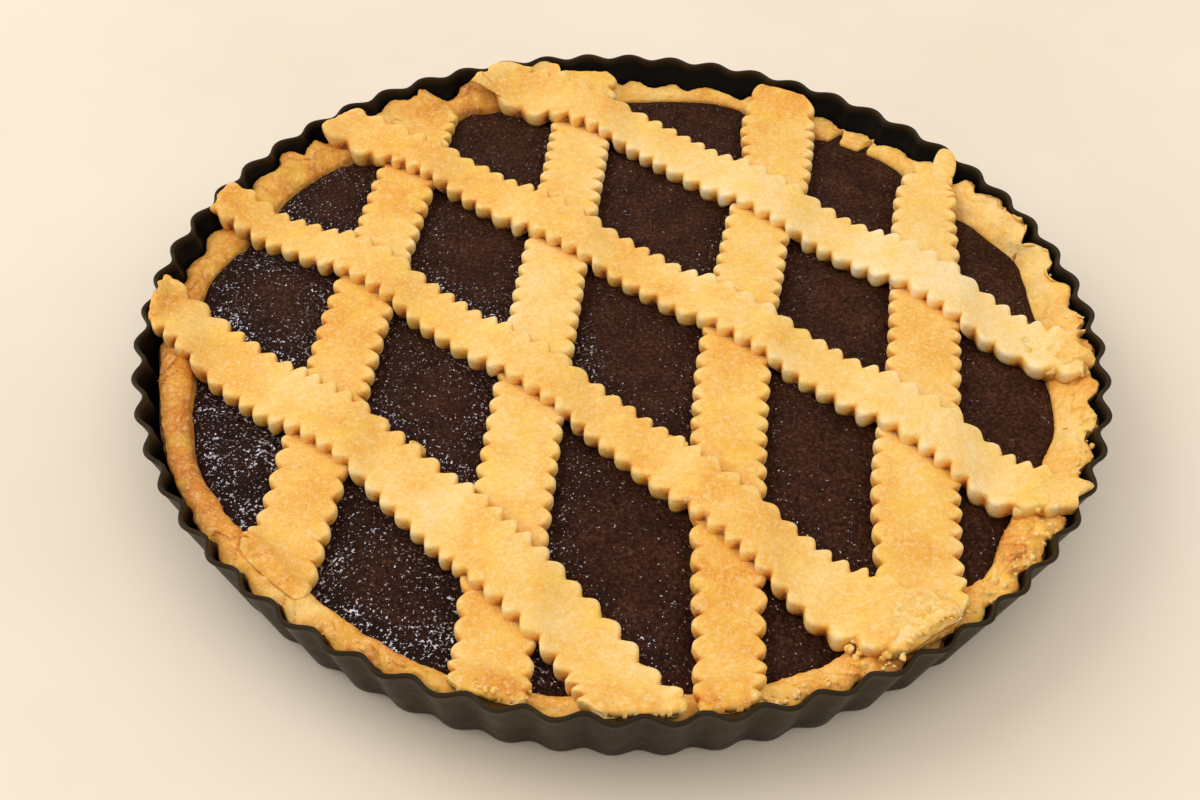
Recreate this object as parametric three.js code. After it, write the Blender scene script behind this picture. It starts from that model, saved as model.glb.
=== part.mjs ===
// A chocolate lattice tart in its fluted tin.
//
// Units are millimetres and +Z points up. The origin is the centre of the tin's underside.
// The tart's shortbread case lines the tin, the chocolate filling stands in the case as a low
// dome, and eight strips of the same dough, cut with a fluted wheel, lie over the filling as a
// lattice. Four lower strips (b1 to b4) run from the back (+Y) to the front, and four upper
// strips (a1 to a4) cross over them from the back left to the front right.

import * as THREE from 'three';

// ---- Driving dimensions -------------------------------------------------------------------

const RIM_HEIGHT = 28;
const RIM_RADIUS = 140;
const BASE_RADIUS = 130;
const SHEET = 0.8;
const FLUTES = 60;
const FLUTE_PHASE = 1.08;
const FLUTE_DEPTH_AT_RIM = 1.4;
const FLUTE_DEPTH_AT_BASE = 0.9;

const GAP = 0.35;
const CASE_FLOOR = 4.5;
const CASE_FOOT_WIDTH = 6;
const CASE_RIM_HEIGHT = 22.4;
const CASE_INNER_RADIUS = 126.5;
const CASE_CREST_SHARE = 0.6;
const CASE_FLUTE_SHARE = 0.6;
const CASE_SLACK = 0.3;

const FILLING_EDGE_HEIGHT = 18;
const FILLING_DOME = 3.6;
const FILLING_DOME_POWER = 4;

const STRIP_THICKNESS = 3.6;
const STRIP_CROWN = 0.3;
const TOOTH_PITCH = 6.5;
const TOOTH_DEPTH = 2.1;
const END_REACH = 136.3;
const SPAN_REACH = 2.5;

const TIN_COLUMNS = FLUTES * 6;
const CASE_COLUMNS = FLUTES * 4;
const FILLING_COLUMNS = FLUTES * 2;

// Places where the case's rim stands higher or lower than its mean height, or its inner edge
// comes further in or stays further out: the middle of the stretch and its half width in
// degrees counter-clockwise from +X, then the rise and the shift of the inner edge.
const RIM_SWELLS = [
  { angle: 26, spread: 15, rise: 3.8, inward: -2.0 },
  { angle: -8, spread: 15, rise: 2.6, inward: 1.2 },
  { angle: -52, spread: 10, rise: 0.4, inward: 5.5 },
  { angle: -112, spread: 12, rise: 0.6, inward: -3.8 },
  { angle: -148, spread: 16, rise: 1.6, inward: 0.5 },
  { angle: 169, spread: 9, rise: -1.4, inward: -0.8 },
  { angle: 145, spread: 6, rise: 2.8, inward: 2.0 },
  { angle: 120, spread: 8, rise: -0.4, inward: 2.2 },
  { angle: 76, spread: 8, rise: -0.6, inward: -1.3 },
  { angle: 52, spread: 7, rise: -0.4, inward: -3.8 },
];

// The strips' centrelines, from their back end to their front end, as [x, y, width over the
// teeth].
const LOWER_STRIPS = {
  strip_b1: [[-69, 112, 20], [-73.5, 60, 20.5], [-79, 3, 20.5], [-83.5, -65, 21], [-86, -104, 21]],
  strip_b2: [[-12, 132, 21], [-16.8, 85, 20.5], [-24, 3, 21], [-27, -60, 22], [-29, -133, 23]],
  strip_b3: [[50, 126, 24.5], [48, 80, 22], [40.8, 54, 21], [32.5, -10, 22], [31, -60, 21],
    [30, -133, 20.5]],
  strip_b4: [[99, 92, 18], [95, 76, 20], [92, 35, 22], [88, -5, 22], [82, -53, 25], [79, -100, 24]],
};
const UPPER_STRIPS = {
  strip_a1: [[-45, 124, 20], [-10, 108.5, 21], [27, 80, 20.5], [59.5, 55, 21], [90, 33.5, 20.5],
    [111, 16.5, 20], [125, 3.5, 19]],
  strip_a2: [[-96, 93, 18], [-59.5, 75, 18.5], [-30, 53, 19], [0, 32.5, 19], [44.5, 0, 19.5],
    [84.5, -31, 20], [119, -59, 22]],
  strip_a3: [[-126, 51, 18], [-84.5, 28.5, 17], [-44.5, -3.5, 17.5], [-14, -27, 18],
    [20, -58, 19], [50.5, -87.5, 20], [76, -107, 23]],
  strip_a4: [[-134, 0, 20], [-97, -31, 21], [-69.5, -50, 21], [-38.5, -80.5, 22],
    [-15, -103.5, 23], [5, -133, 23]],
};

// The way an upper strip drapes over a lower one: it stays at full height this far past the
// lower strip's edge, and then comes down over this length.
const DRAPE_SHOULDER = 2.5;
const DRAPE_LENGTH = 6;
const DRAPE_GAP = 0.5;

// ---- Small helpers ------------------------------------------------------------------------

const radians = THREE.MathUtils.degToRad;
const smoothstep = THREE.MathUtils.smoothstep;
const lerp = THREE.MathUtils.lerp;

// A bell-shaped weight, 1 at the middle of a stretch of angles and near 0 past its ends.
function bell(angle, middle, spread) {
  const turn = THREE.MathUtils.euclideanModulo(angle - middle + 180, 360) - 180;
  return Math.exp(-((turn / spread) ** 2));
}

function swellSum(angle, key) {
  return RIM_SWELLS.reduce((sum, swell) => sum + swell[key] * bell(angle, swell.angle, swell.spread), 0);
}

// The slow hand-made wander of a rolled edge, about 1 at most.
function wander(angle) {
  const turn = radians(angle);
  return 0.45 * Math.sin(7 * turn + 1.0) + 0.35 * Math.sin(13 * turn + 2.1) + 0.2 * Math.sin(23 * turn);
}

function polar(radius, angle, height) {
  return new THREE.Vector3(radius * Math.cos(radians(angle)), radius * Math.sin(radians(angle)), height);
}

// ---- Surfaces that the pieces share -------------------------------------------------------

const CASE_BASE_HEIGHT = SHEET + GAP;
const CASE_FLOOR_HEIGHT = CASE_BASE_HEIGHT + CASE_FLOOR;
const CASE_FLOOR_RADIUS = BASE_RADIUS - CASE_FOOT_WIDTH;

function fluteWave(angle) {
  return Math.cos(radians(FLUTES * (angle - FLUTE_PHASE)));
}

function wallRadius(height) {
  return lerp(BASE_RADIUS, RIM_RADIUS, height / RIM_HEIGHT);
}

function fluteDepth(height) {
  return lerp(FLUTE_DEPTH_AT_BASE, FLUTE_DEPTH_AT_RIM, height / RIM_HEIGHT);
}

// Radius of the tin's outer skin.
function tinRadius(angle, height) {
  return wallRadius(height) + fluteDepth(height) * fluteWave(angle);
}

// Radius of the case's outer skin. Its flutes are shallower than the tin's, so it keeps its
// gap by the difference.
function caseOuterRadius(angle, height) {
  const slack = GAP + CASE_SLACK + (1 - CASE_FLUTE_SHARE) * fluteDepth(height);
  const flute = CASE_FLUTE_SHARE * fluteDepth(height) * fluteWave(angle);
  return wallRadius(height) - SHEET - slack + flute;
}

function caseRimHeight(angle) {
  return CASE_RIM_HEIGHT + swellSum(angle, 'rise') + 0.6 * wander(angle);
}

function caseInnerRadius(angle) {
  return CASE_INNER_RADIUS - swellSum(angle, 'inward') + 1.1 * wander(angle + 40);
}

const caseShoulderHeight = (angle) => caseRimHeight(angle) - 1.2;
const caseCrestRadius = (angle) =>
  lerp(caseInnerRadius(angle), wallRadius(caseShoulderHeight(angle)), CASE_CREST_SHARE);
const caseEdgeHeight = (angle) => lerp(FILLING_EDGE_HEIGHT + 0.4, caseRimHeight(angle), 0.3);

// The height that clears the case's crest, from its inner edge outwards.
function caseTop(radius, angle) {
  return radius < caseInnerRadius(angle) ? -Infinity : caseRimHeight(angle);
}

// Radius of the case's inner wall, between its floor and its inner edge.
function caseWallRadius(angle, height) {
  const share = (height - CASE_FLOOR_HEIGHT) / (caseEdgeHeight(angle) - CASE_FLOOR_HEIGHT);
  return lerp(CASE_FLOOR_RADIUS, caseInnerRadius(angle), share);
}

function fillingTop(radius) {
  const share = Math.min(radius / CASE_INNER_RADIUS, 1);
  return FILLING_EDGE_HEIGHT + FILLING_DOME * (1 - share ** FILLING_DOME_POWER);
}

// Lowest height that clears the sloping inside of the tin, up to its rim.
function tinTop(radius) {
  const reach = radius + SHEET + FLUTE_DEPTH_AT_RIM + GAP - BASE_RADIUS;
  return Math.min((reach / (RIM_RADIUS - BASE_RADIUS)) * RIM_HEIGHT, RIM_HEIGHT);
}

// What a strip of dough lies on at a point.
function bedHeight(x, y) {
  const radius = Math.hypot(x, y);
  const angle = THREE.MathUtils.radToDeg(Math.atan2(y, x));
  return Math.max(fillingTop(radius), caseTop(radius, angle));
}

// ---- Closed bodies ------------------------------------------------------------------------

function bodyFrom(points, faces) {
  const geometry = new THREE.BufferGeometry();
  geometry.setAttribute('position', new THREE.Float32BufferAttribute(points.flatMap((p) => p.toArray()), 3));
  geometry.setIndex(faces.flat());
  geometry.computeVertexNormals();
  return geometry;
}

// A body round the Z axis. Its rings go from the middle of its underside out, up, and back in
// to the middle of its upper face; each ring is a function from an angle to a point.
function roundBody(columns, bottomHeight, rings, topHeight) {
  const points = [new THREE.Vector3(0, 0, bottomHeight)];
  for (const ring of rings) {
    for (let column = 0; column < columns; column += 1) {
      points.push(ring((column * 360) / columns + FLUTE_PHASE));
    }
  }
  points.push(new THREE.Vector3(0, 0, topHeight));

  const at = (ring, column) => 1 + ring * columns + (column % columns);
  const last = rings.length - 1;
  const faces = [];
  for (let column = 0; column < columns; column += 1) {
    faces.push([0, at(0, column + 1), at(0, column)]);
    for (let ring = 0; ring < last; ring += 1) {
      faces.push([at(ring, column), at(ring, column + 1), at(ring + 1, column)]);
      faces.push([at(ring, column + 1), at(ring + 1, column + 1), at(ring + 1, column)]);
    }
    faces.push([points.length - 1, at(last, column), at(last, column + 1)]);
  }
  return bodyFrom(points, faces);
}

// A body from a row of sections with the same number of points. Seen from the body's far end,
// each section goes round counter-clockwise.
function sweptBody(sections) {
  const size = sections[0].length;
  const last = sections.length - 1;
  const at = (row, point) => row * size + (point % size);
  const faces = [];
  for (let row = 0; row < last; row += 1) {
    for (let point = 0; point < size; point += 1) {
      faces.push([at(row, point), at(row, point + 1), at(row + 1, point)]);
      faces.push([at(row, point + 1), at(row + 1, point + 1), at(row + 1, point)]);
    }
  }
  for (let point = 1; point < size - 1; point += 1) {
    faces.push([at(0, 0), at(0, point + 1), at(0, point)]);
    faces.push([at(last, 0), at(last, point), at(last, point + 1)]);
  }
  return bodyFrom(sections.flat(), faces);
}

// ---- Tin, case and filling ----------------------------------------------------------------

function tinGeometry() {
  const outer = (height) => (angle) => polar(tinRadius(angle, height), angle, height);
  const inner = (height) => (angle) => polar(tinRadius(angle, height) - SHEET, angle, height);
  const rings = [outer(0), outer(RIM_HEIGHT), inner(RIM_HEIGHT), inner(SHEET)];
  return roundBody(TIN_COLUMNS, 0, rings, SHEET);
}

function caseGeometry() {
  const rings = [
    (angle) => polar(caseOuterRadius(angle, CASE_BASE_HEIGHT), angle, CASE_BASE_HEIGHT),
    (angle) => {
      const height = caseShoulderHeight(angle);
      return polar(caseOuterRadius(angle, height), angle, height);
    },
    (angle) => polar(caseCrestRadius(angle), angle, caseRimHeight(angle)),
    (angle) => polar(caseInnerRadius(angle), angle, caseEdgeHeight(angle)),
    (angle) => polar(CASE_FLOOR_RADIUS, angle, CASE_FLOOR_HEIGHT),
  ];
  return roundBody(CASE_COLUMNS, CASE_BASE_HEIGHT, rings, CASE_FLOOR_HEIGHT);
}

function fillingGeometry() {
  const underside = CASE_FLOOR_HEIGHT + GAP;
  const domeRing = (share) => (angle) => {
    const radius = (caseWallRadius(angle, FILLING_EDGE_HEIGHT) - 2 * GAP) * share;
    return polar(radius, angle, fillingTop(radius));
  };
  const rings = [
    (angle) => polar(CASE_FLOOR_RADIUS - 2 * GAP, angle, underside),
    domeRing(1),
    domeRing(0.9),
    domeRing(0.72),
    domeRing(0.4),
  ];
  return roundBody(FILLING_COLUMNS, underside, rings, fillingTop(0));
}

// ---- Lattice strips -----------------------------------------------------------------------

// Stations along a strip, half a tooth apart: its centreline point, the direction to its left
// side, and its half width there.
function stripStations(line) {
  const centreline = new THREE.CatmullRomCurve3(line.map(([x, y]) => new THREE.Vector3(x, y, 0)));
  const widths = new THREE.CatmullRomCurve3(line.map(([, , width]) => new THREE.Vector3(width, 0, 0)));
  const teeth = Math.round(centreline.getLength() / TOOTH_PITCH);
  const count = 2 * teeth;
  const stations = [];
  for (let index = 0; index <= count; index += 1) {
    const along = index / count;
    const tangent = centreline.getTangentAt(along);
    const valley = index % 2 === 0 ? TOOTH_DEPTH : 0;
    stations.push({
      middle: centreline.getPointAt(along),
      left: new THREE.Vector3(-tangent.y, tangent.x, 0),
      half: widths.getPoint(along).x / 2 - valley,
    });
  }
  return stations;
}

// Moves a point that would touch the tin's rim in towards the axis.
function insideRim(point) {
  const radius = Math.hypot(point.x, point.y);
  return radius > END_REACH ? point.clone().multiplyScalar(END_REACH / radius) : point;
}

// The highest bed height round a point, because stiff dough spans small dips, or the tin's
// wall where that is higher.
function spannedHeight(point, bed) {
  let highest = Math.max(bed(point.x, point.y), tinTop(Math.hypot(point.x, point.y)));
  for (let angle = 0; angle < 360; angle += 60) {
    const probe = polar(SPAN_REACH, angle, 0).add(point);
    highest = Math.max(highest, bed(probe.x, probe.y));
  }
  return highest;
}

function stripSections(stations, bed, gap) {
  return stations.map(({ middle, left, half }) => {
    const foot = (share) => {
      const point = insideRim(middle.clone().addScaledVector(left, share * half));
      return point.setZ(spannedHeight(point, bed) + gap);
    };
    const head = (share) => {
      const crown = share === 0 ? STRIP_CROWN : 0;
      return foot(share).add(new THREE.Vector3(0, 0, STRIP_THICKNESS + crown));
    };
    return [foot(-1), foot(0), foot(1), head(1), head(0), head(-1)];
  });
}

// What an upper strip lies on: the bed, and over each lower strip its upper face, with a
// smooth ramp on either side.
function drapedBed(lowerStrips) {
  return (x, y) => {
    const base = bedHeight(x, y);
    let height = base;
    for (const stations of lowerStrips) {
      for (const { middle, half, top } of stations) {
        const distance = Math.hypot(x - middle.x, y - middle.y);
        const shoulder = half + TOOTH_DEPTH + DRAPE_SHOULDER;
        const climb = 1 - smoothstep(distance, shoulder, shoulder + DRAPE_LENGTH);
        height = Math.max(height, lerp(base, top, climb));
      }
    }
    return height;
  };
}

// ---- The tart -----------------------------------------------------------------------------

const COATED_STEEL = { color: 0x26241f, roughness: 0.45, metalness: 0.3 };
const CASE_DOUGH = { color: 0xd79c4e, roughness: 0.9, metalness: 0 };
const CHOCOLATE = { color: 0x38211a, roughness: 0.4, metalness: 0 };
const LOWER_DOUGH = { color: 0xe6bd6e, roughness: 0.85, metalness: 0 };
const UPPER_DOUGH = { color: 0xe3ad57, roughness: 0.85, metalness: 0 };

const tart = new THREE.Group();

function addPiece(name, geometry, look) {
  const piece = new THREE.Mesh(geometry, new THREE.MeshStandardMaterial(look));
  piece.name = name;
  tart.add(piece);
}

addPiece('tin', tinGeometry(), COATED_STEEL);
addPiece('crust', caseGeometry(), CASE_DOUGH);
addPiece('filling', fillingGeometry(), CHOCOLATE);

const lowerStations = [];
for (const [name, line] of Object.entries(LOWER_STRIPS)) {
  const stations = stripStations(line);
  const sections = stripSections(stations, bedHeight, GAP);
  stations.forEach((station, index) => {
    station.top = Math.max(...sections[index].map((point) => point.z));
  });
  lowerStations.push(stations);
  addPiece(name, sweptBody(sections), LOWER_DOUGH);
}

const upperBed = drapedBed(lowerStations);
for (const [name, line] of Object.entries(UPPER_STRIPS)) {
  const sections = stripSections(stripStations(line), upperBed, DRAPE_GAP);
  addPiece(name, sweptBody(sections), UPPER_DOUGH);
}

export default tart;
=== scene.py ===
import math

import bmesh
import bpy
import numpy as np
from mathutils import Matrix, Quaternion, Vector


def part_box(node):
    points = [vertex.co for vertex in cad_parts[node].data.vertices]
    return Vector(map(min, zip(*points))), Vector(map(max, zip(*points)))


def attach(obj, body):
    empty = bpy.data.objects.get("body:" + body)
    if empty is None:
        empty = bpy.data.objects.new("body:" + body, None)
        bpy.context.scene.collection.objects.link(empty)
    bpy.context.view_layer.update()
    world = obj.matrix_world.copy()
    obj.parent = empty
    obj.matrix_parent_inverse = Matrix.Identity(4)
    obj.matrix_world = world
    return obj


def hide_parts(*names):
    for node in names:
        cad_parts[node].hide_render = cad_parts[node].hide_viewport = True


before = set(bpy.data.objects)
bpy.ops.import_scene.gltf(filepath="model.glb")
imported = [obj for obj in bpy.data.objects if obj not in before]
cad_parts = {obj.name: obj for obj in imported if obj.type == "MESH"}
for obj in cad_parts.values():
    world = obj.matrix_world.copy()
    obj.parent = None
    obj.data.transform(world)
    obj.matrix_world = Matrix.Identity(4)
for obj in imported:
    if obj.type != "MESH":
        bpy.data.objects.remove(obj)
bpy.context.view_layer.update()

# Lengths are in millimetres, in the frame of the part. Those of the floor, the lamps and the
# camera are in metres.
MM = 0.001
OBJECT_SEED = 41


# ---- Driving dimensions ----

tin_low, tin_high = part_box("tin")
TIN_SIZE = (tin_high - tin_low) / MM
RIM_HEIGHT = TIN_SIZE.z
FLUTES = 60
FLUTE_PHASE = math.radians(1.08)
FLUTE_DEPTH_AT_RIM = 1.4
FLUTE_DEPTH_AT_BASE = 0.9
FLUTE_FULLNESS = 0.12
RIM_RADIUS = TIN_SIZE.x / 2 - FLUTE_DEPTH_AT_RIM
WALL_LEAN = 10
BASE_RADIUS = RIM_RADIUS - WALL_LEAN
SHEET = 0.8
LIP_RADIUS = 0.75

# Between the dough and the tin.
DOUGH_GAP = 0.25

CRUST_FOOT = SHEET + 0.4
CRUST_FLOOR = CRUST_FOOT + 4.5

FILLING_EDGE_HEIGHT = 18
FILLING_DOME = 3.9
FILLING_DOME_POWER = 4
FILLING_DOME_RADIUS = 127
FILLING_PUFF = 1.5
FILLING_SINK = 0.5

STRIP_THICKNESS = 4.2
STRIP_SINK = 0.5
EDGE_ROUNDING = 1.15
TOOTH_PITCH = 6.5
TOOTH_DEPTH = 2.35
LOWER_NARROWING = 0.95
UPPER_NARROWING = 1.35
CROSSING_RISE = 3.2
CROSSING_SQUEEZE = 0.22

# At a strip's ends: the length over which its corners are rounded, the length over which it
# thins, and the length of its rounded edge.
CORNER_LENGTH = 5.5
THIN_LENGTH = 12
END_ROUNDING = 2.2

# How far a strip's plain top stays from where its teeth reach.
TOP_BORDER = 4.4

# How far the rim wanders up and down and in and out, and how much of a notch's depth its crest
# and its outer edge show.
CREST_WANDER = 0.35
INNER_WANDER = 0.5
NOTCH_IN_CREST = 0.5
NOTCH_IN_EDGE = 0.6

# The rim's section: how far a roll falls to its edges, how far a band's lip falls, and how far
# above the filling a band ends.
ROLL_FALL = 1.9
BAND_LIP_FALL = 0.9
BAND_ABOVE_FILLING = 0.6

# The case's rim round the tart: angle in degrees counter-clockwise from +X, radius of its inner
# edge, height of its crest, how brown and how crumbly it is from 0 to 1, and how far it is a band
# that slopes inwards (1) rather than a round roll (0).
RIM_PROFILE = [
    (0, 125, 26.5, 0.5, 0.7, 1), (-10, 127.6, 26.1, 0.4, 0.4, 0.8), (-20, 125.6, 26.1, 0.42, 0.5, 0.7),
    (-27, 123.5, 25.2, 0.5, 1, 0.5), (-34, 125.6, 24.8, 0.54, 1, 0.5), (-40, 127.8, 24.3, 0.54, 1, 0.4),
    (-46, 127, 24.2, 0.54, 1, 0.4), (-52, 121, 24, 0.46, 1, 0.4), (-60, 125, 24, 0.54, 1, 0.4),
    (-66, 127.5, 23.8, 0.54, 0.8, 0.3), (-75, 127, 23.8, 0.5, 0.7, 0.3),
    (-84, 127.5, 23.5, 0.5, 0.7, 0.3), (-97, 129.4, 23.5, 0.52, 0.6, 0.3),
    (-105, 128.6, 23.5, 0.56, 0.6, 0.2), (-111, 130.2, 23.3, 0.6, 0.5, 0.2),
    (-118, 128.4, 23.7, 0.58, 0.5, 0.1), (-124, 127.6, 24.9, 0.48, 0.6, 0.1),
    (-131, 127.2, 25, 0.52, 0.5, 0.1), (-140, 128, 24.2, 0.7, 0.3, 0),
    (-150, 128.6, 24.2, 0.74, 0.25, 0), (-157, 128.2, 24.2, 0.74, 0.25, 0),
    (-165, 125.8, 23.8, 0.72, 0.25, 0), (-174, 125, 23.6, 0.62, 0.4, 0),
    (176, 127.8, 22.1, 0.62, 0.4, 0.2), (170, 128.2, 21.3, 0.62, 0.4, 0.2),
    (162, 125.2, 21.7, 0.6, 0.4, 0.3), (154, 126, 23.8, 0.58, 0.4, 0.4),
    (146, 127, 25.7, 0.58, 0.4, 0.8), (139, 126.5, 24.9, 0.54, 0.4, 0.6),
    (134, 125, 23.8, 0.52, 0.4, 0.4), (129, 124, 24, 0.5, 0.4, 0.8), (126.5, 124, 24.5, 0.5, 0.5, 0.9),
    (124.5, 124, 25.8, 0.5, 0.6, 0.9), (122, 125, 27.3, 0.52, 0.6, 0.9),
    (120.9, 126, 25.8, 0.56, 0.5, 0.9), (119.6, 127, 21.2, 0.6, 0.4, 0.5),
    (118, 127.6, 20.8, 0.6, 0.4, 0.4), (116.8, 128, 22.8, 0.6, 0.4, 0.5),
    (115, 128, 25.6, 0.62, 0.5, 0.8), (112.5, 127.5, 27.4, 0.6, 0.5, 0.9),
    (108, 127, 26.6, 0.54, 0.5, 0.8), (100, 125, 23.8, 0.46, 0.4, 0.5), (90, 126, 21.6, 0.5, 0.4, 0.5),
    (84, 128.5, 21, 0.5, 0.4, 0.5), (78, 130.5, 21.5, 0.5, 0.4, 0.5), (74, 130.5, 21.4, 0.48, 0.4, 0.5),
    (66, 129.5, 22, 0.44, 0.4, 0.5), (59, 127.6, 20.9, 0.48, 0.4, 0.5),
    (50, 130.4, 21.2, 0.48, 0.4, 0.5), (45, 128.5, 21.6, 0.44, 0.4, 0.6),
    (40, 127.5, 24.2, 0.44, 0.4, 0.9), (34, 128, 27.3, 0.33, 0.5, 1), (28, 130.3, 27.9, 0.3, 0.5, 1),
    (22, 132.4, 27.7, 0.3, 0.5, 1), (17, 130, 27.3, 0.32, 0.5, 1), (12, 127.5, 26.5, 0.36, 0.5, 1),
    (6, 126, 26.7, 0.42, 0.6, 1),
]

# Notches in the rim's outer edge: angle, half width in degrees, depth in millimetres.
RIM_NOTCHES = [
    (38.8, 1.1, 4), (34.3, 0.8, 2.4), (30.2, 0.5, 1), (23, 1.4, 4.2), (18.6, 0.6, 1), (15.2, 1.5, 2.4),
    (9, 1.3, 1.8), (4.4, 0.9, 2), (-3.6, 1.1, 1.3), (-8.6, 1.3, 0.8), (-14.8, 1.5, 1), (-21.2, 1, 1.3),
    (143.2, 0.7, 3.2), (138.4, 1, 3.4), (92, 0.9, 2), (86.8, 1.5, 1.7), (82.4, 1, 0.9), (74.3, 1.2, 2),
    (47.2, 0.7, 0.8),
]

# Where the rim is split and the filling shows: angle, half width, depth in shares of SPLIT_REACH.
RIM_SPLITS = [(57.9, 0.55, 1), (53.3, 0.4, 1)]
SPLIT_REACH = 6.0

# Where the rim has shrunk away from the tin: angle, half width in degrees, and how far it has
# drawn back from a circle that lies UNSHRUNK_REACH outside the middle of the tin's wall.
RIM_SHRINKING = [(-150, 16, 3.9), (-170, 10, 4.2)]
UNSHRUNK_REACH = 2

# The strips' centrelines from the back end to the front end, as (x, y, width over the teeth).
LOWER_STRIPS = {
    "strip_b1": [(-69, 114, 20), (-73.5, 60, 20.5), (-79, 3, 20.5), (-83.5, -65, 21),
                 (-86, -90, 21.5), (-87.5, -104, 21.5)],
    "strip_b2": [(-17, 134, 21), (-18.5, 85, 20.5), (-24, 3, 21), (-27, -60, 22), (-28.5, -120, 21),
                 (-28, -136, 21)],
    "strip_b3": [(50.5, 126, 22), (48.5, 108, 25), (47, 80, 22), (40.8, 54, 21), (32.5, -10, 22),
                 (30.5, -60, 21), (30.5, -120, 18.5), (29, -136, 15)],
    "strip_b4": [(101, 92, 14), (95.5, 76, 19.5), (92, 35, 22), (88, -5, 22), (82, -53, 25),
                 (80, -102, 23)],
}
UPPER_STRIPS = {
    "strip_a1": [(-44.5, 122, 19.5), (-10, 108.5, 21), (27, 80, 20.5), (59.5, 55, 21), (90, 33.5, 20.5),
                 (111, 14.5, 20), (130, 1, 17)],
    "strip_a2": [(-94, 93.5, 17), (-59.5, 75, 18.5), (-30, 53, 19), (0, 32.5, 19), (44.5, 0, 19.5),
                 (84.5, -31, 20), (106, -50, 21), (122, -58, 15)],
    "strip_a3": [(-129, 52, 16), (-84.5, 28.5, 17), (-44.5, -3.5, 17.5), (-14, -27, 18),
                 (20, -58, 19), (50.5, -87.5, 21), (62, -97.5, 24.5), (76, -106, 24)],
    "strip_a4": [(-136, 2, 20), (-97, -31, 21), (-69.5, -50, 21), (-38.5, -80.5, 22),
                 (-15, -103.5, 22), (-3, -117, 21.5), (8.5, -136, 25)],
}

# Each strip's ends. Two values each for how far from the tart's middle the back end and the
# front end reach, how crumbly they are, and how brown they are from 0 to 1.
STRIP_ENDS = {
    "strip_b1": (127, 132.8, 0.3, 0.5, 0.47, 0.46), "strip_b2": (134.5, 137.5, 0.3, 0.6, 0.34, 0.46),
    "strip_b3": (136.5, 138, 0.2, 0.6, 0.45, 0.53), "strip_b4": (134, 136.5, 0.3, 1, 0.43, 0.48),
    "strip_a1": (137, 134.5, 0.4, 1, 0.46, 0.16), "strip_a2": (138.5, 136, 0.4, 0.6, 0.44, 0.34),
    "strip_a3": (140, 136.5, 0.3, 1, 0.48, 0.4), "strip_a4": (139, 138, 0.7, 0.8, 0.42, 0.32),
}

# Corners that were cut off: strip, which side of its back end, how far along and how wide.
CORNER_CUTS = {("strip_a1", -1): (15, 9.4), ("strip_b4", -1): (9, 3.0)}

# The stretch before its front end in which a strip's teeth fade and it thins into the crust.
FADING_ENDS = {"strip_b1": 13}

# The strips whose teeth were pulled wider when their front ends were pressed down.
STRETCH = {"strip_b2": 0.18, "strip_b3": 0.18}

# Lumps, flaps and spikes of dough on the strips, mostly at their ends: outline, thickness,
# rounding of its edge, how crumbly and how brown.
PATCHES = {
    "strip_a1": [
        ([(-50, 123), (-50.5, 128), (-47, 130.5), (-43, 133), (-38, 137.5), (-33, 137.5),
          (-27, 133.5), (-27, 128), (-34, 126), (-43, 123)], 0.9, 3, 0.1, 0.44),
        ([(117, 10), (124, 10), (131, 9.5), (137.5, 11), (133.5, 6.5), (133.5, 2), (137.5, -4.5),
          (131, -4), (127, -5.5), (123.5, -4), (120.5, 0), (117.5, 5)], 1.2, 1.8, 0.6, 0.36),
    ],
    "strip_a2": [
        ([(109.5, -58), (107.5, -61.5), (109.5, -63), (113, -62.4), (118, -63.2), (123.5, -63.6),
          (125.5, -59), (128, -56.5), (132.5, -52.5), (127, -53.5), (122, -51), (116, -52)],
         1.2, 1.4, 0.2, 0.36),
    ],
    "strip_a3": [
        ([(10.5, -44.5), (12, -41.8), (14, -40.3), (16.5, -40.1), (18.5, -42.5), (19, -47),
          (14, -49)], 1.4, 1.3, 0, 0.4),
        ([(66, -102), (70, -109), (73, -113.5), (78, -111.5), (84, -106.5), (90.5, -99),
          (91, -94), (84, -91), (76, -93), (69, -96.5)], 0.9, 3, 0.8, 0.36),
    ],
    "strip_a4": [
        ([(-139, 5), (-137.5, 9), (-134, 8.5), (-131, 4), (-131, -1), (-134, -6), (-138, -5)],
         0.9, 2.2, 0.5, 0.5),
        ([(-57.5, -47.5), (-56.5, -45.8), (-54.5, -46.2), (-52.8, -49), (-54, -52), (-57, -51)],
         1.2, 1.2, 0, 0.38),
    ],
    "strip_b4": [
        ([(98.5, 84), (98.5, 89), (100, 92.5), (102.5, 93), (104.5, 91), (105.5, 87),
          (104.5, 83), (101, 81)], 0.8, 2.4, 0, 0.44),
    ],
}

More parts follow.
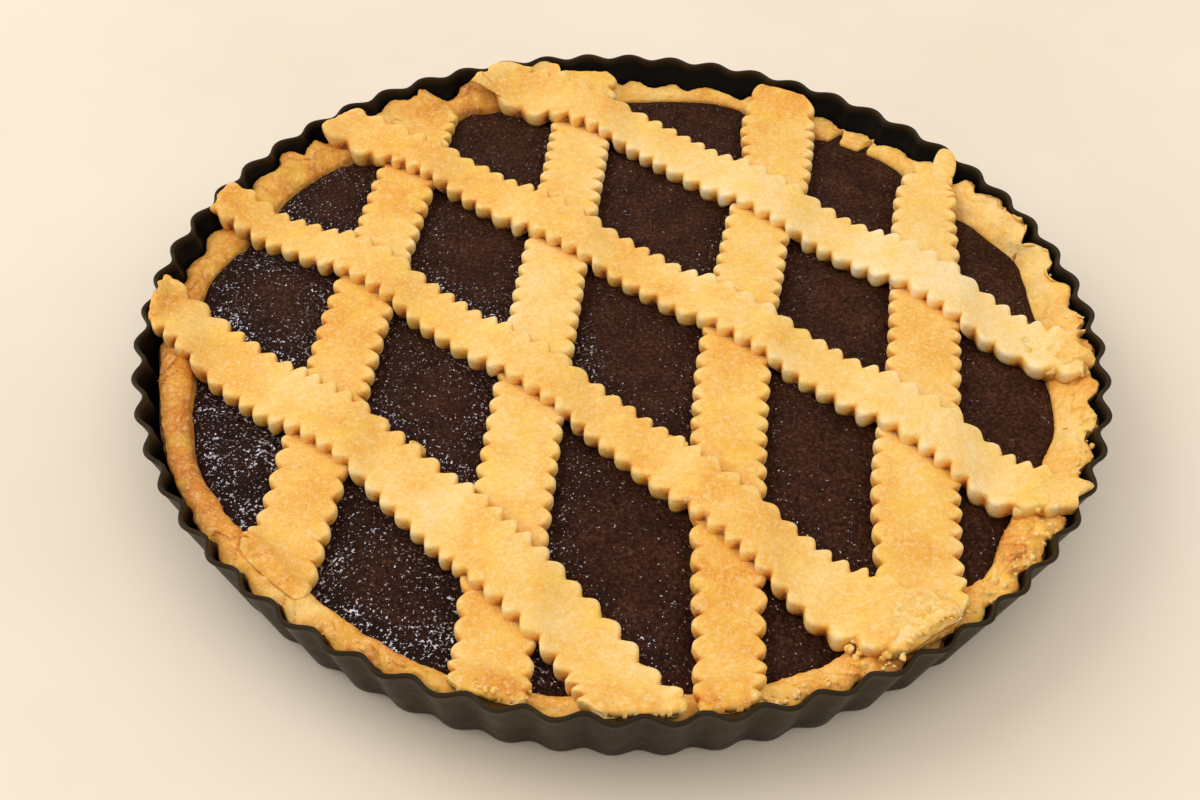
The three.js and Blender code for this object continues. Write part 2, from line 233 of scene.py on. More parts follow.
# Stretches of crumbled edge, each a line of points with how far the crumbs lie from it, how
# many there are and their largest radius. They belong to the named piece.
CRUMB_LINES = [
    ("strip_a3", [(59, -107), (63, -114), (70, -118), (78, -112), (86, -106), (92, -98)], 3, 44, 1.1),
    ("strip_a3", [(64, -108), (74, -104), (84, -97)], 6, 30, 0.7),
    ("strip_a4", [(-4, -132), (4, -134), (12, -133), (19, -131)], 2.6, 16, 1),
    ("strip_a4", [(-138, 8), (-133, 8), (-131, 4)], 1.6, 6, 0.8),
    ("strip_b2", [(-40, -127), (-33, -130), (-24, -134), (-18, -133)], 2.6, 14, 1),
    ("strip_b3", [(22, -128), (30, -132), (39, -130), (44, -128)], 2.4, 16, 1),
    ("strip_a1", [(118, 6), (125, 0), (131, -3)], 3, 10, 0.8),
    ("strip_a2", [(110, -61), (118, -61), (125, -57)], 2, 10, 0.8),
    ("crust", [(124, -54), (117, -66), (108, -78), (99, -90)], 4.5, 40, 1.1),
    ("crust", [(58, -119), (50, -124), (44, -127)], 3.6, 20, 1),
    ("crust", [(20, -132), (12, -133), (-2, -133), (-14, -132)], 3.2, 16, 0.9),
    ("crust", [(-44, -125), (-56, -120), (-70, -112)], 3.4, 12, 0.8),
    ("crust", [(133, -20), (130, -36), (126, -48)], 4, 16, 0.9),
    ("crust", [(120, 60), (127, 44), (132, 26), (134, 8)], 3.6, 14, 0.8),
]


# ---- Seeded noise ----

NOISE_TABLE = np.random.default_rng(OBJECT_SEED).random(4096)


def cell_value(i, j, k, seed):
    mixed = (i * 73856093) ^ (j * 19349663) ^ (k * 83492791) ^ (seed * 2654435)
    return NOISE_TABLE[(mixed ^ (mixed >> 13)) & 4095]


def noise(points, cell, seed):
    """Smooth value noise from -1 to 1 at the points, with features of about cell."""
    scaled = points / cell
    base = np.floor(scaled).astype(np.int64)
    part = scaled - base
    part = part * part * (3 - 2 * part)
    total = np.zeros(points.shape[:-1])
    for corner in range(8):
        step = np.array([corner & 1, (corner >> 1) & 1, corner >> 2])
        weight = np.where(step, part, 1 - part).prod(-1)
        total += weight * cell_value(*np.moveaxis(base + step, -1, 0), seed)
    return 2 * total - 1


def crags(points, cell, seed, octaves=3):
    """Several noises on top of each other, each half as large and half as strong."""
    return sum(noise(points, cell / 2 ** n, seed + n) / 2 ** n for n in range(octaves))


def nearest_seed(points, cell, seed):
    """Distance to the nearest of the scattered seeds, in cells, and that seed's own number."""
    scaled = points / cell
    base = np.floor(scaled).astype(np.int64)
    best = np.full(points.shape[:-1], 9.0)
    label = np.zeros(points.shape[:-1])
    for dx in (-1, 0, 1):
        for dy in (-1, 0, 1):
            i, j = base[..., 0] + dx, base[..., 1] + dy
            px = i + cell_value(i, j, 0, seed)
            py = j + cell_value(i, j, 0, seed + 1)
            distance = np.hypot(scaled[..., 0] - px, scaled[..., 1] - py)
            label = np.where(distance < best, cell_value(i, j, 0, seed + 2), label)
            best = np.minimum(best, distance)
    return best, label


def crumbs(points, cell, seed):
    """Rounded crumbs, from 0 between them to about 1 on top."""
    near, size = nearest_seed(points, cell, seed)
    return np.clip(1 - (near / (0.35 + 0.45 * size)) ** 2, 0, 1)


def smoothstep(low, high, value):
    share = np.clip((value - low) / (high - low), 0, 1)
    return share * share * (3 - 2 * share)


def flat_points(x, y):
    return np.stack([x, y, 0 * x], -1)


# ---- Shapes that the pieces share ----

def wall_radius(height):
    return BASE_RADIUS + (RIM_RADIUS - BASE_RADIUS) * height / RIM_HEIGHT


def flute_depth(height):
    return FLUTE_DEPTH_AT_BASE + (FLUTE_DEPTH_AT_RIM - FLUTE_DEPTH_AT_BASE) * height / RIM_HEIGHT


def flute_wave(angle):
    wave = np.cos(FLUTES * (angle - FLUTE_PHASE))
    return wave + FLUTE_FULLNESS * (1 - wave * wave)


def tin_inside(angle, height):
    """Radius of the tin's inner face."""
    level = np.clip(height, 0, RIM_HEIGHT)
    return wall_radius(level) + flute_depth(level) * flute_wave(angle) - SHEET


def round_table(column, step=0.25, blur=1.0):
    """A function from angles to a column of RIM_PROFILE. step and blur are in degrees."""
    rows = sorted((row[0] % 360, row[column]) for row in RIM_PROFILE)
    fine = np.arange(0, 360, step)
    values = np.interp(fine, *zip(*rows), period=360)
    offsets = np.arange(-4 * blur, 4 * blur + step, step)
    taps = np.exp(-0.5 * (offsets / blur) ** 2)
    taps /= taps.sum()
    shifts = np.round(offsets / step).astype(int)
    values = sum(tap * np.roll(values, -shift) for tap, shift in zip(taps, shifts))
    return lambda angle: np.interp(np.degrees(angle) % 360, fine, values, period=360)


inner_table, crest_table, bake_table, crumble_table, band_table = map(round_table, range(1, 6))


def bells(angle, rows):
    """Sum of bell shapes round the rim, each given by its angle, half width and depth."""
    degrees = np.degrees(angle)
    total = np.zeros_like(degrees)
    for middle, half_width, depth in rows:
        turn = (degrees - middle + 180) % 360 - 180
        total += depth * np.exp(-((turn / half_width) ** 2))
    return total


def wander(angle):
    """A slow unevenness round the rim, between -1 and 1."""
    waves = ((0.45, 9, 1.0), (0.35, 17, 2.1), (0.3, 31, 0.0))
    return sum(size * np.sin(count * angle + phase) for size, count, phase in waves)


def case_crest(angle):
    notches = bells(angle, RIM_NOTCHES)
    return crest_table(angle) + CREST_WANDER * wander(angle) - NOTCH_IN_CREST * notches


def case_inner(angle):
    split = np.minimum(bells(angle, RIM_SPLITS), 1)
    unlike_crest = angle + math.radians(40)
    return inner_table(angle) + INNER_WANDER * wander(unlike_crest) + SPLIT_REACH * split


def case_outer(angle, height):
    """The rim's outer edge: notched, torn into small points where it is a band, and drawn back
    from the tin where it has shrunk."""
    along = flat_points(angle * RIM_RADIUS, 0 * angle)
    torn = 0.7 * (1 - np.abs(noise(along, 3.6, 161))) ** 5
    torn = torn + 0.5 * (1 - np.abs(noise(along, 1.9, 162))) ** 4
    against_tin = tin_inside(angle, height) - DOUGH_GAP
    against_tin = against_tin - NOTCH_IN_EDGE * bells(angle, RIM_NOTCHES) - torn * band_table(angle)
    shrunk = wall_radius(height) + UNSHRUNK_REACH - bells(angle, RIM_SHRINKING)
    return np.minimum(against_tin, shrunk)


def case_top(angle, share):
    """Height of the rim's upper face, from its outer edge (share 0) to its inner edge (1)."""
    crest = case_crest(angle)
    roll = crest - ROLL_FALL * np.abs(2 * share - 1) ** 2.6
    slope = crest - FILLING_EDGE_HEIGHT - BAND_ABOVE_FILLING
    band = crest - BAND_LIP_FALL * (1 - share) ** 5 - slope * share ** 1.3
    return roll + (band - roll) * band_table(angle)


# Height fields over the tart, on a square raster. NOWHERE is the height where a thing is not.
PIXEL = 0.6
RASTER_HALF = 150
NOWHERE = -99.0
raster_axis = np.arange(-RASTER_HALF, RASTER_HALF + PIXEL, PIXEL)
raster_x, raster_y = np.meshgrid(raster_axis, raster_axis, indexing="ij")
raster_radius = np.hypot(raster_x, raster_y)
raster_angle = np.arctan2(raster_y, raster_x)


def sample(field, x, y):
    """The field's value at points, between its four nearest pixels."""
    u, v = (np.clip((at + RASTER_HALF) / PIXEL, 0, len(raster_axis) - 1.001) for at in (x, y))
    i, j = u.astype(int), v.astype(int)
    s, t = u - i, v - j
    low = field[i, j] * (1 - t) + field[i, j + 1] * t
    high = field[i + 1, j] * (1 - t) + field[i + 1, j + 1] * t
    return low * (1 - s) + high * s


def moved_copies(field, reach, axis):
    """The field moved along one axis by each number of pixels up to reach, both ways."""
    padding = [(reach, reach) if a == axis else (0, 0) for a in (0, 1)]
    padded = np.pad(field, padding, mode="edge")
    for n in range(2 * reach + 1):
        yield np.take(padded, np.arange(n, n + field.shape[axis]), axis=axis)


def blurred(field, radius):
    """Gaussian blur; radius is its standard deviation in millimetres."""
    reach = max(1, int(round(2.5 * radius / PIXEL)))
    taps = np.exp(-0.5 * (np.arange(-reach, reach + 1) * PIXEL / radius) ** 2)
    taps /= taps.sum()
    for axis in (0, 1):
        field = sum(tap * copy for tap, copy in zip(taps, moved_copies(field, reach, axis)))
    return field


def spread(field, radius):
    """The highest value within radius of each pixel."""
    reach = int(round(radius / PIXEL))
    for axis in (0, 1):
        field = np.maximum.reduce(list(moved_copies(field, reach, axis)))
    return field


def dome_field():
    share = np.minimum(raster_radius / FILLING_DOME_RADIUS, 1)
    return FILLING_EDGE_HEIGHT + FILLING_DOME * (1 - share ** FILLING_DOME_POWER)


def case_field():
    """The case's rim, between its inner and outer edges."""
    inner = inner_table(raster_angle)
    outer = tin_inside(raster_angle, crest_table(raster_angle) - 1) - DOUGH_GAP
    share = np.clip((outer - raster_radius) / (outer - inner), 0, 1)
    return np.where(raster_radius < inner, NOWHERE, case_top(raster_angle, share))


def wall_ramp(clearance=1.2, below_rim=1.5):
    """What keeps the ends of the strips clear of the tin's sloping wall."""
    slope = RIM_HEIGHT / (RIM_RADIUS - BASE_RADIUS)
    climb = (raster_radius + clearance + SHEET - BASE_RADIUS) * slope
    return np.minimum(climb, RIM_HEIGHT - below_rim)


def kept_in_tin(grid, proud):
    """The points, moved in towards the axis where they are nearer to the tin's wall than the
    dough's gap. proud is how much nearer than that they may come."""
    x, y, z = np.moveaxis(grid, -1, 0)
    limit = tin_inside(np.arctan2(y, x), z) - DOUGH_GAP + proud
    shrink = np.minimum(1, limit / np.maximum(np.hypot(x, y), 1e-6))
    return np.stack([x * shrink, y * shrink, z], -1)


# ---- Meshes ----

def add_object(name, data):
    thing = bpy.data.objects.new(name, data)
    bpy.context.scene.collection.objects.link(thing)
    return thing


def add_mesh(name, body, material, node, key):
    """A smooth piece that replaces a node of the part and rides on its one body. body holds
    its points in millimetres, its faces, and the values that its material reads as key."""
    points, faces, values = body
    mesh = bpy.data.meshes.new(name)
    mesh.from_pydata((points * MM).tolist(), [], faces)
    mesh.polygons.foreach_set("use_smooth", [True] * len(mesh.polygons))
    layer = mesh.attributes.new(key, "FLOAT", "POINT")
    layer.data.foreach_set("value", np.asarray(values, np.float32))
    mesh.materials.append(material)
    mesh.update()
    piece = add_object(name, mesh)
    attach(piece, "root")
    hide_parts(node)


def grid_normals(grid):
    """Unit normals of a grid of points whose rows are closed loops."""
    between_rows = np.gradient(grid, axis=0)
    along_row = np.roll(grid, -1, axis=1) - np.roll(grid, 1, axis=1)
    normals = np.cross(between_rows, along_row)
    return normals / np.maximum(np.linalg.norm(normals, axis=2, keepdims=True), 1e-9)


def closed_body(grid, values):
    """Rows of points, each a closed loop, with a middle point on each end: the points, faces
    and values of a closed body."""
    points = np.concatenate([[grid[0].mean(0)], grid.reshape(-1, 3), [grid[-1].mean(0)]])
    values = np.concatenate([[values[0].mean()], values.reshape(-1), [values[-1].mean()]])
    here = np.arange(1, len(points) - 1).reshape(grid.shape[:2])
    after = np.roll(here, -1, axis=1)
    quads = np.stack([here[:-1], after[:-1], after[1:], here[1:]], -1)
    first = np.stack([0 * here[0], after[0], here[0]], -1)
    last = np.stack([0 * here[0] + len(points) - 1, here[-1], after[-1]], -1)
    return points, first.tolist() + quads.reshape(-1, 4).tolist() + last.tolist(), values


def join(bodies):
    """Several bodies as one."""
    points, faces, values = [], [], []
    start = 0
    for body_points, body_faces, body_values in bodies:
        points.append(body_points)
        values.append(body_values)
        faces += [tuple(k + start for k in face) for face in body_faces]
        start += len(body_points)
    return np.concatenate(points), faces, np.concatenate(values)


def round_angles(columns):
    return np.arange(columns) * 2 * math.pi / columns


def ring(angle, radius, height):
    height = np.broadcast_to(height, angle.shape)
    return np.stack([radius * np.cos(angle), radius * np.sin(angle), height], -1)


def curve_span(a, b, c, d, t):
    """Points of a Catmull-Rom curve from b to c, whose neighbours are a and d."""
    return 0.5 * (2 * b + (c - a) * t + (2 * a - 5 * b + 4 * c - d) * t ** 2
                  + (3 * b - a - 3 * c + d) * t ** 3)


# ---- Materials ----

def colour(red, green, blue):
    """A colour given in display values from 0 to 255, as the shader takes it."""
    channels = [v / 255 for v in (red, green, blue)]
    return [v / 12.92 if v <= 0.04045 else ((v + 0.055) / 1.055) ** 2.4 for v in channels] + [1]


class Nodes:
    """Short calls for building one material."""

    def __init__(self, name):
        self.material = bpy.data.materials.new(name)
        self.material.use_nodes = True
        self.tree = self.material.node_tree
        self.shader = self.tree.nodes["Principled BSDF"]
        self.place = self.tree.nodes.new("ShaderNodeNewGeometry").outputs["Position"]

    def new(self, kind, inputs=None, **settings):
        node = self.tree.nodes.new("ShaderNode" + kind)
        for key, value in settings.items():
            setattr(node, key, value)
        for key, value in (inputs or {}).items():
            self.put(node.inputs[key], value)
        return node

    def put(self, socket, value):
        if isinstance(value, bpy.types.NodeSocket):
            self.tree.links.new(value, socket)
        else:
            socket.default_value = value

    def set(self, **values):
        for key, value in values.items():
            self.put(self.shader.inputs[key.replace("_", " ")], value)

    def noise(self, size_mm, detail, roughness):
        inputs = {"Vector": self.place, "Scale": 1 / (size_mm * MM), "Detail": detail}
        return self.new("TexNoise", inputs | {"Roughness": roughness}).outputs["Fac"]

    def blisters(self, size_mm):
        inputs = {"Vector": self.place, "Scale": 1 / (size_mm * MM), "Smoothness": 0.3}
        return self.new("TexVoronoi", inputs, feature="SMOOTH_F1").outputs["Distance"]

    def attribute(self, name):
        return self.new("Attribute", attribute_name=name).outputs["Fac"]

    def math(self, operation, a, b, clamp=False):
        return self.new("Math", {0: a, 1: b}, operation=operation, use_clamp=clamp).outputs[0]

    def fit(self, value, low, high, to_low=0.0, to_high=1.0):
        inputs = {"Value": value, "From Min": low, "From Max": high, "To Min": to_low, "To Max": to_high}
        return self.new("MapRange", inputs).outputs["Result"]

    def varied(self, size_mm, detail, roughness, to_low=0.0, to_high=1.0):
        """Noise that takes up the whole span from to_low to to_high."""
        return self.fit(self.noise(size_mm, detail, roughness), 0.3, 0.7, to_low, to_high)

    def above(self, value, limit, sharpness=40.0):
        """1 where the value is above the limit and 0 elsewhere, with a sharp edge."""
        return self.math("MULTIPLY", self.math("SUBTRACT", value, limit), sharpness, clamp=True)

    def ramp(self, value, stops):
        node = self.new("ValToRGB", {"Fac": value})
        elements = node.color_ramp.elements
        while len(elements) < len(stops):
            elements.new(0.5)
        for element, (position, shade) in zip(elements, stops):
            element.position = position
            element.color = shade
        return node.outputs["Color"]

    def mix(self, share, a, b):
        node = self.new("Mix", data_type="RGBA")
        for place, value in ((0, share), (6, a), (7, b)):
            self.put(node.inputs[place], value)
        return node.outputs[2]

    def bump(self, height, distance_mm, strength, under=None):
        inputs = {"Height": height, "Distance": distance_mm * MM, "Strength": strength}
        if under is not None:
            inputs["Normal"] = under
        return self.new("Bump", inputs).outputs["Normal"]


def dough_material(name):
    """Baked shortbread. The mesh's attribute, from 0 for pale to 1 for brown, holds the browning together
    with painted shade in the notches, on the sides and in hollows and a painted highlight on the teeth's
    tips;
    it is broken up by the dough's own mottling."""
    n = Nodes(name)
    shade = n.attribute("bake")
    for size, detail, roughness, reach in ((16, 4, 0.6, 0.09), (3.2, 5, 0.7, 0.06), (0.8, 3, 0.7, 0.08)):
        shade = n.math("ADD", shade, n.varied(size, detail, roughness, -reach, reach))
    tint = n.ramp(shade, [
        (0, colour(248, 227, 184)),
        (0.2, colour(247, 214, 150)),
        (0.4, colour(244, 196, 104)),
        (0.6, colour(236, 168, 64)),
        (0.8, colour(208, 126, 38)),
        (1, colour(146, 76, 20)),
    ])
    yolk = n.fit(n.noise(11, 3, 0.5), 0.52, 0.68, 0, 0.45)
    tint = n.mix(yolk, tint, colour(246, 202, 78))
    # Pale cream flecks: partly sugar grains, partly a painted sheen.
    sugar_and_sheen = n.fit(n.noise(1.5, 3, 0.6), 0.52, 0.7, 0, 0.42)
    tint = n.mix(sugar_and_sheen, tint, colour(252, 226, 178))
    n.set(Base_Color=tint, Subsurface_Weight=0.1, Subsurface_Scale=0.0016)
    n.set(Subsurface_Radius=(1.0, 0.5, 0.2), Specular_IOR_Level=0.3)
    n.set(Roughness=n.varied(3, 3, 0.6, 0.5, 0.75))
    coarse = n.bump(n.noise(2.4, 5, 0.65), 0.55, 0.8)
    n.set(Normal=n.bump(n.noise(0.7, 3, 0.7), 0.2, 0.9, coarse))
    return n.material


def chocolate_material():
    """Baked chocolate: dark and matt, finely pitted, with small light, mirror-bright metallic specks. Its
    attribute marks where it is wet and where glints and shade gather: there it is darker, a painted
    shade, and its specks, which are painted glints, are many; elsewhere they are few."""
    n = Nodes("chocolate")
    wet = n.attribute("wet")
    patches = n.varied(11, 3, 0.5, 0, 0.25)
    grain = n.fit(n.noise(1.2, 4, 0.7), 0.32, 0.68, 0, 0.75)
    tint = n.ramp(n.math("ADD", patches, grain), [
        (0.15, colour(30, 14, 7)),
        (0.5, colour(56, 29, 16)),
        (0.85, colour(86, 52, 34)),
    ])
    clusters = n.fit(n.noise(8, 3, 0.6), 0.38, 0.58, 0.4, 1.0)
    limit = n.fit(n.math("MULTIPLY", wet, clusters), 0.0, 1.0, 0.72, 0.56)
    fine_limit = n.fit(wet, 0.05, 0.5, 0.77, 0.68)
    coarse_glint = n.above(n.noise(0.95, 2, 0.6), limit)
    fine_glint = n.above(n.noise(0.8, 2, 0.5), fine_limit)
    glint = n.math("MAXIMUM", coarse_glint, fine_glint)
    # Darker where the attribute is high, along the edges of the cells and by the crust: painted shade,
    # partly wet chocolate.
    tint = n.mix(n.math("MULTIPLY", wet, 0.75), tint, colour(26, 13, 10))
    # The specks' light bluish-white colour: painted highlights, glints of the lamps' reflection.
    tint = n.mix(glint, tint, colour(186, 182, 190))
    rough = n.fit(glint, 0, 1, 0.62, 0.16)
    n.set(Base_Color=tint, Roughness=rough, Metallic=n.math("MULTIPLY", glint, 0.9))
    n.set(Specular_IOR_Level=0.06)
    soft = n.bump(n.blisters(1.6), 0.6, n.fit(wet, 0, 1, 0.7, 1.0))
    n.set(Normal=n.bump(n.noise(1.0, 3, 0.6), 0.5, 1.0, soft))
    return n.material


def coated_steel_material():
    """Dark non-stick coating on fluted sheet, with a fine texture and faint wear, its outer face painted
    lighter brown as a reflection and its inner face near black as shade.
    """
    n = Nodes("coated_steel")
    tone = n.fit(n.noise(16, 4, 0.6), 0.35, 0.7)
    # One coating in two colours: the outer face lighter brown, a painted reflection of the warm floor,
    # the inner face near black, painted shade.
    outside = n.mix(tone, colour(39, 28, 12), colour(51, 39, 19))
    inside = n.mix(tone, colour(4, 4, 4), colour(9, 8, 7))
    n.set(Base_Color=n.mix(n.attribute("inside"), outside, inside))
    n.set(Roughness=n.varied(5, 4, 0.65, 0.36, 0.5), Specular_IOR_Level=0.12)
    n.set(Normal=n.bump(n.noise(0.9, 3, 0.6), 0.05, 0.5))
    return n.material


def floor_material():
    n = Nodes("pale_floor")
    tone = n.varied(120, 3, 0.5)
    n.set(Base_Color=n.mix(tone, colour(234, 219, 198), colour(240, 227, 209)), Roughness=0.75)
    return n.material


# ---- Tin ----

def build_tin():
    """The fluted sheet: under its base, up its outer face, over its rounded lip, down its
    inner face and over its floor."""
    angle = round_angles(FLUTES * 16)
    rows, inner = [], []

    def row(height, inset, level=None, turned_in=0.0):
        """A ring of points, inset from the outer face, whose flutes are those at level. turned_in marks
        the inner face, which the material paints near black as shade.
        """
        inner.append(turned_in)
        level = height if level is None else level
        radius = wall_radius(level) + flute_depth(level) * flute_wave(angle) - inset
        rows.append(ring(angle, radius, height))

    for inset in (40, 6, 2):
        row(0, inset, 0)
    for height, inset in ((0.0, 0.7), (0.25, 0.2), (0.8, 0.0)):
        row(height, inset)
    wall_heights = np.linspace(3, RIM_HEIGHT - 2.6, 8)
    for height in wall_heights:
        row(height, 0)
    lip_height = RIM_HEIGHT - LIP_RADIUS
    for turn in np.radians(np.linspace(-40, 200, 9)):
        height = lip_height + LIP_RADIUS * math.sin(turn)
        row(height, SHEET / 2 - LIP_RADIUS * math.cos(turn), lip_height)
    for height in wall_heights[::-1]:
        row(height, SHEET, turned_in=1.0)
    for height, inset in ((1.4, SHEET), (0.9, SHEET + 0.4), (SHEET, SHEET + 1.2)):
        row(height, inset, turned_in=1.0)
    row(SHEET, 12, SHEET, turned_in=1.0)
    body = closed_body(np.stack(rows), np.array(inner)[:, None] * np.ones(len(angle)))
    add_mesh("tin_sheet", body, coated_steel_material(), "tin", "inside")


# ---- Strips of dough ----

class Strip:
    """One strip's centreline, its half widths and its place on the raster."""

    STEP = 0.5

    def __init__(self, name, line, number):
        self.name, self.number = name, number
        knots = np.array(line, float)
        dense = self.spline(knots, 60)
        lengths = np.concatenate([[0], np.cumsum(np.linalg.norm(np.diff(dense[:, :2], axis=0), axis=1))])
        self.length = lengths[-1]
        self.along = np.arange(0, self.length, self.STEP)
        self.middle = np.stack([np.interp(self.along, lengths, dense[:, k]) for k in (0, 1)], -1)
        self.half = np.interp(self.along, lengths, dense[:, 2]) / 2
        tangent = np.gradient(self.middle, axis=0)
        tangent /= np.linalg.norm(tangent, axis=1, keepdims=True)
        self.tangent = tangent
        self.left = np.stack([-tangent[:, 1], tangent[:, 0]], -1)

    @staticmethod
    def spline(knots, per_span):
        """Catmull-Rom curve through the knots."""
        padded = np.concatenate([[2 * knots[0] - knots[1]], knots, [2 * knots[-1] - knots[-2]]])
        t = np.linspace(0, 1, per_span, endpoint=False)[:, None]
        spans = [curve_span(*four, t) for four in zip(padded, padded[1:], padded[2:], padded[3:])]
        return np.concatenate(spans + [knots[-1:]])

    def cover(self):
        """How far inside the strip each pixel lies, in millimetres; below 0 outside it."""
        inside = np.full(raster_x.shape, NOWHERE)
        for k in range(0, len(self.along), 3):
            x, y = self.middle[k]
            reach = self.half[k] + 4
            i0, i1 = np.searchsorted(raster_axis, (x - reach, x + reach))
            j0, j1 = np.searchsorted(raster_axis, (y - reach, y + reach))
            window = (slice(i0, i1), slice(j0, j1))
            distance = np.hypot(raster_x[window] - x, raster_y[window] - y)
            inside[window] = np.maximum(inside[window], self.half[k] - distance)
        return inside


def tooth_wave(along, seed, stretch, narrowing):
    """0 in the notches and 1 at the tips of the teeth, uneven as a hand-rolled wheel's. stretch
    widens the teeth near the strip's front end, and a higher narrowing widens the notches."""
    count = int(along[-1] / TOOTH_PITCH) + 4
    random = np.random.default_rng(seed)
    pitch = TOOTH_PITCH * (1 + stretch * smoothstep(110, 20, along[-1] - along))
    phase = np.cumsum(np.gradient(along) / pitch) + random.random() + 0.2 * np.sin(along / 11 + seed)
    tooth = np.clip(np.floor(phase).astype(int), 0, count + 1)
    strength = (0.75 + 0.35 * random.random(count + 2))[tooth]
    lean = (0.5 * (random.random(count + 2) - 0.5))[tooth]
    part = phase - np.floor(phase)
    part = part + lean * part * (1 - part)
    return 1 - strength * (1 - np.sin(math.pi * part) ** narrowing)


def end_shift(strip, reach, at_end, lateral):
    """How far the strip has to go on past its end, or stop short of it, at each lateral distance
    from its centreline, to end on a circle of that reach round the tart's middle."""
    row, sign = (-1, 1) if at_end else (0, -1)
    ahead = sign * strip.tangent[row]
    start = strip.middle[row] + strip.left[row] * lateral[..., None]
    toward = start @ ahead
    gap = np.maximum(toward ** 2 - (start ** 2).sum(-1) + reach ** 2, 0)
    return np.clip(np.sqrt(gap) - toward, -11, 11), ahead


def strip_edge(strip, side, number, from_start, to_end):
    """How far one edge lies from the centreline, and 0 in its notches to 1 on its teeth."""
    from_end = np.minimum(from_start, to_end)
    narrowing = UPPER_NARROWING if strip.name in UPPER_STRIPS else LOWER_NARROWING
    wave = tooth_wave(strip.along, OBJECT_SEED + number, STRETCH.get(strip.name, 0), narrowing)
    wave = 1 - (1 - wave) * (0.5 + 0.5 * smoothstep(2, 9, from_end))
    wave = 1 - (1 - wave) * smoothstep(0.3, 1.0, to_end / FADING_ENDS.get(strip.name, 1))
    length, width = CORNER_CUTS.get((strip.name, side), (1, 0))
    uncut = strip.half - width * np.clip(1 - from_start / length, 0, 1) ** 1.6
    corner = np.sqrt(np.clip(1 - (1 - np.clip(from_end / CORNER_LENGTH, 0, 1)) ** 2, 0.02, 1))
    return (uncut - TOOTH_DEPTH * (1 - wave)) * (0.6 + 0.4 * corner), wave


def strip_thickness(strip, from_end, to_end):
    along = strip.along
    thickness = STRIP_THICKNESS * (0.66 + 0.34 * smoothstep(0, THIN_LENGTH, from_end))
    thickness = thickness + 0.25 * noise(flat_points(along, along * 0 + strip.number * 50), 17, 5)
    thickness = thickness * (0.25 + 0.75 * np.sqrt(1 - (1 - np.clip(from_end / END_ROUNDING, 0, 1)) ** 2))
    return thickness * (0.2 + 0.8 * smoothstep(0, FADING_ENDS.get(strip.name, 0.1), to_end))


def half_section(strip, side, edge, thickness):
    """Half of the strip's section, from its underside round its edge to its top. Each row says
    how far out and how high it is, how far up the edge and how near it, both from 0 to 1, and
    the edge's wave."""
    reach, wave = edge
    rounding = np.minimum(EDGE_ROUNDING, 0.6 * thickness)
    top_reach = strip.half - TOP_BORDER
    rows = [(reach * 0.5, -STRIP_SINK, 0, 0), (reach - 0.7, -STRIP_SINK, 0, 0.6)]
    for share, inset in ((0.12, 0.35), (0.4, 0.08), (0.75, 0.0)):
        rows.append((reach - inset, (thickness - rounding) * share, share, 1))
    for turn in (0, 25, 50, 72, 90):
        lean = math.radians(turn)
        inset, drop = rounding * (1 - math.cos(lean)), rounding * (1 - math.sin(lean))
        rows.append((reach - inset, thickness - drop, 1, 1 - turn / 220))
    for share in (0.25, 0.5, 0.75, 1.0):
        lateral = (reach - rounding) * (1 - share) + top_reach * share
        rows.append((lateral, thickness, 1, 0.59 * (1 - share) ** 2))
    for share in np.linspace(0.9, 0.1, 9):
        rows.append((top_reach * share, thickness, 1, 0))
    return [(side * out, *rest, wave) for out, *rest in rows]


